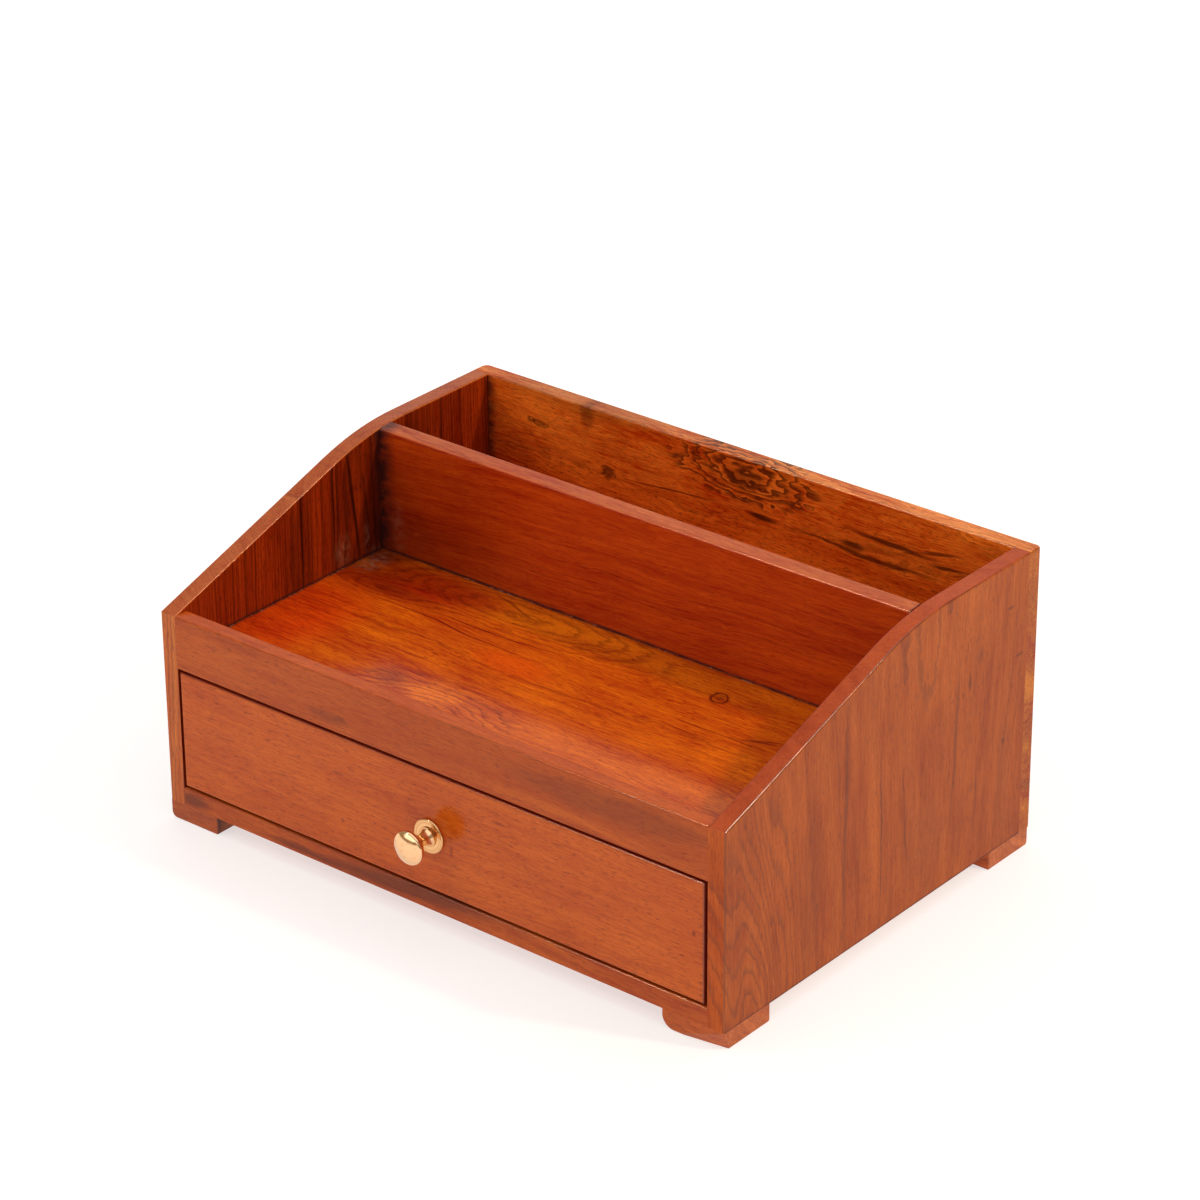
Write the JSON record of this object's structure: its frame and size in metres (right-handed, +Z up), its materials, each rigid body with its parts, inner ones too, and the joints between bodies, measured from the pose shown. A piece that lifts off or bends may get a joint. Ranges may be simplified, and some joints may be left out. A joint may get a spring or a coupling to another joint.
{
  "type": "desk organizer with drawer",
  "caption": "Sloped-side wooden desk organizer with an open front tray, a deep rear compartment and a sliding front drawer with a small brass mushroom knob.",
  "frame": {"origin": "on the desk surface, under the middle of the whole object's box, which takes in the knob that stands 19 mm out of the drawer front", "axes": "+X to the right along the drawer front, +Y from the drawer front to the back panel, +Z up"},
  "size_m": [0.356, 0.269, 0.166],
  "materials": {
    "teak_case": "stained teak boards under a satin to gloss lacquer",
    "teak_inside": "plainer teak of the drawer box, thinly lacquered",
    "ply_panel": "thin plywood panel, thinly lacquered",
    "beech_dowel": "bare beech dowel",
    "polished_brass": "turned and polished brass, lacquered",
    "zinc_steel": "zinc-plated steel fasteners"
  },
  "bodies": {
    "carcass": {"left_side_panel": "teak_case", "right_side_panel": "teak_case", "back_panel": "teak_case", "divider": "teak_case", "tray_floor": "teak_case", "front_rail": "teak_case", "lower_front_rail": "teak_case", "bottom_panel": "ply_panel", "left_drawer_runner": "teak_inside", "right_drawer_runner": "teak_inside", "left_drawer_kicker": "teak_inside", "right_drawer_kicker": "teak_inside", "front_left_foot": "teak_case", "front_right_foot": "teak_case", "rear_left_foot": "teak_case", "rear_right_foot": "teak_case", "carcass_dowels": "beech_dowel", "back_panel_screws": "zinc_steel", "foot_nails": "zinc_steel"},
    "drawer": {"drawer_front": "teak_case", "drawer_left_side": "teak_inside", "drawer_right_side": "teak_inside", "drawer_back": "teak_inside", "drawer_bottom": "ply_panel", "drawer_brads": "zinc_steel", "knob": "polished_brass", "knob_rosette": "polished_brass", "knob_washer": "zinc_steel", "knob_screw": "zinc_steel"}
  },
  "joints": [
    {"name": "drawer_slide", "type": "slide", "parent": "carcass", "child": "drawer", "axis": [0, -1, 0], "range_m": [0, 0.15]}
  ]
}
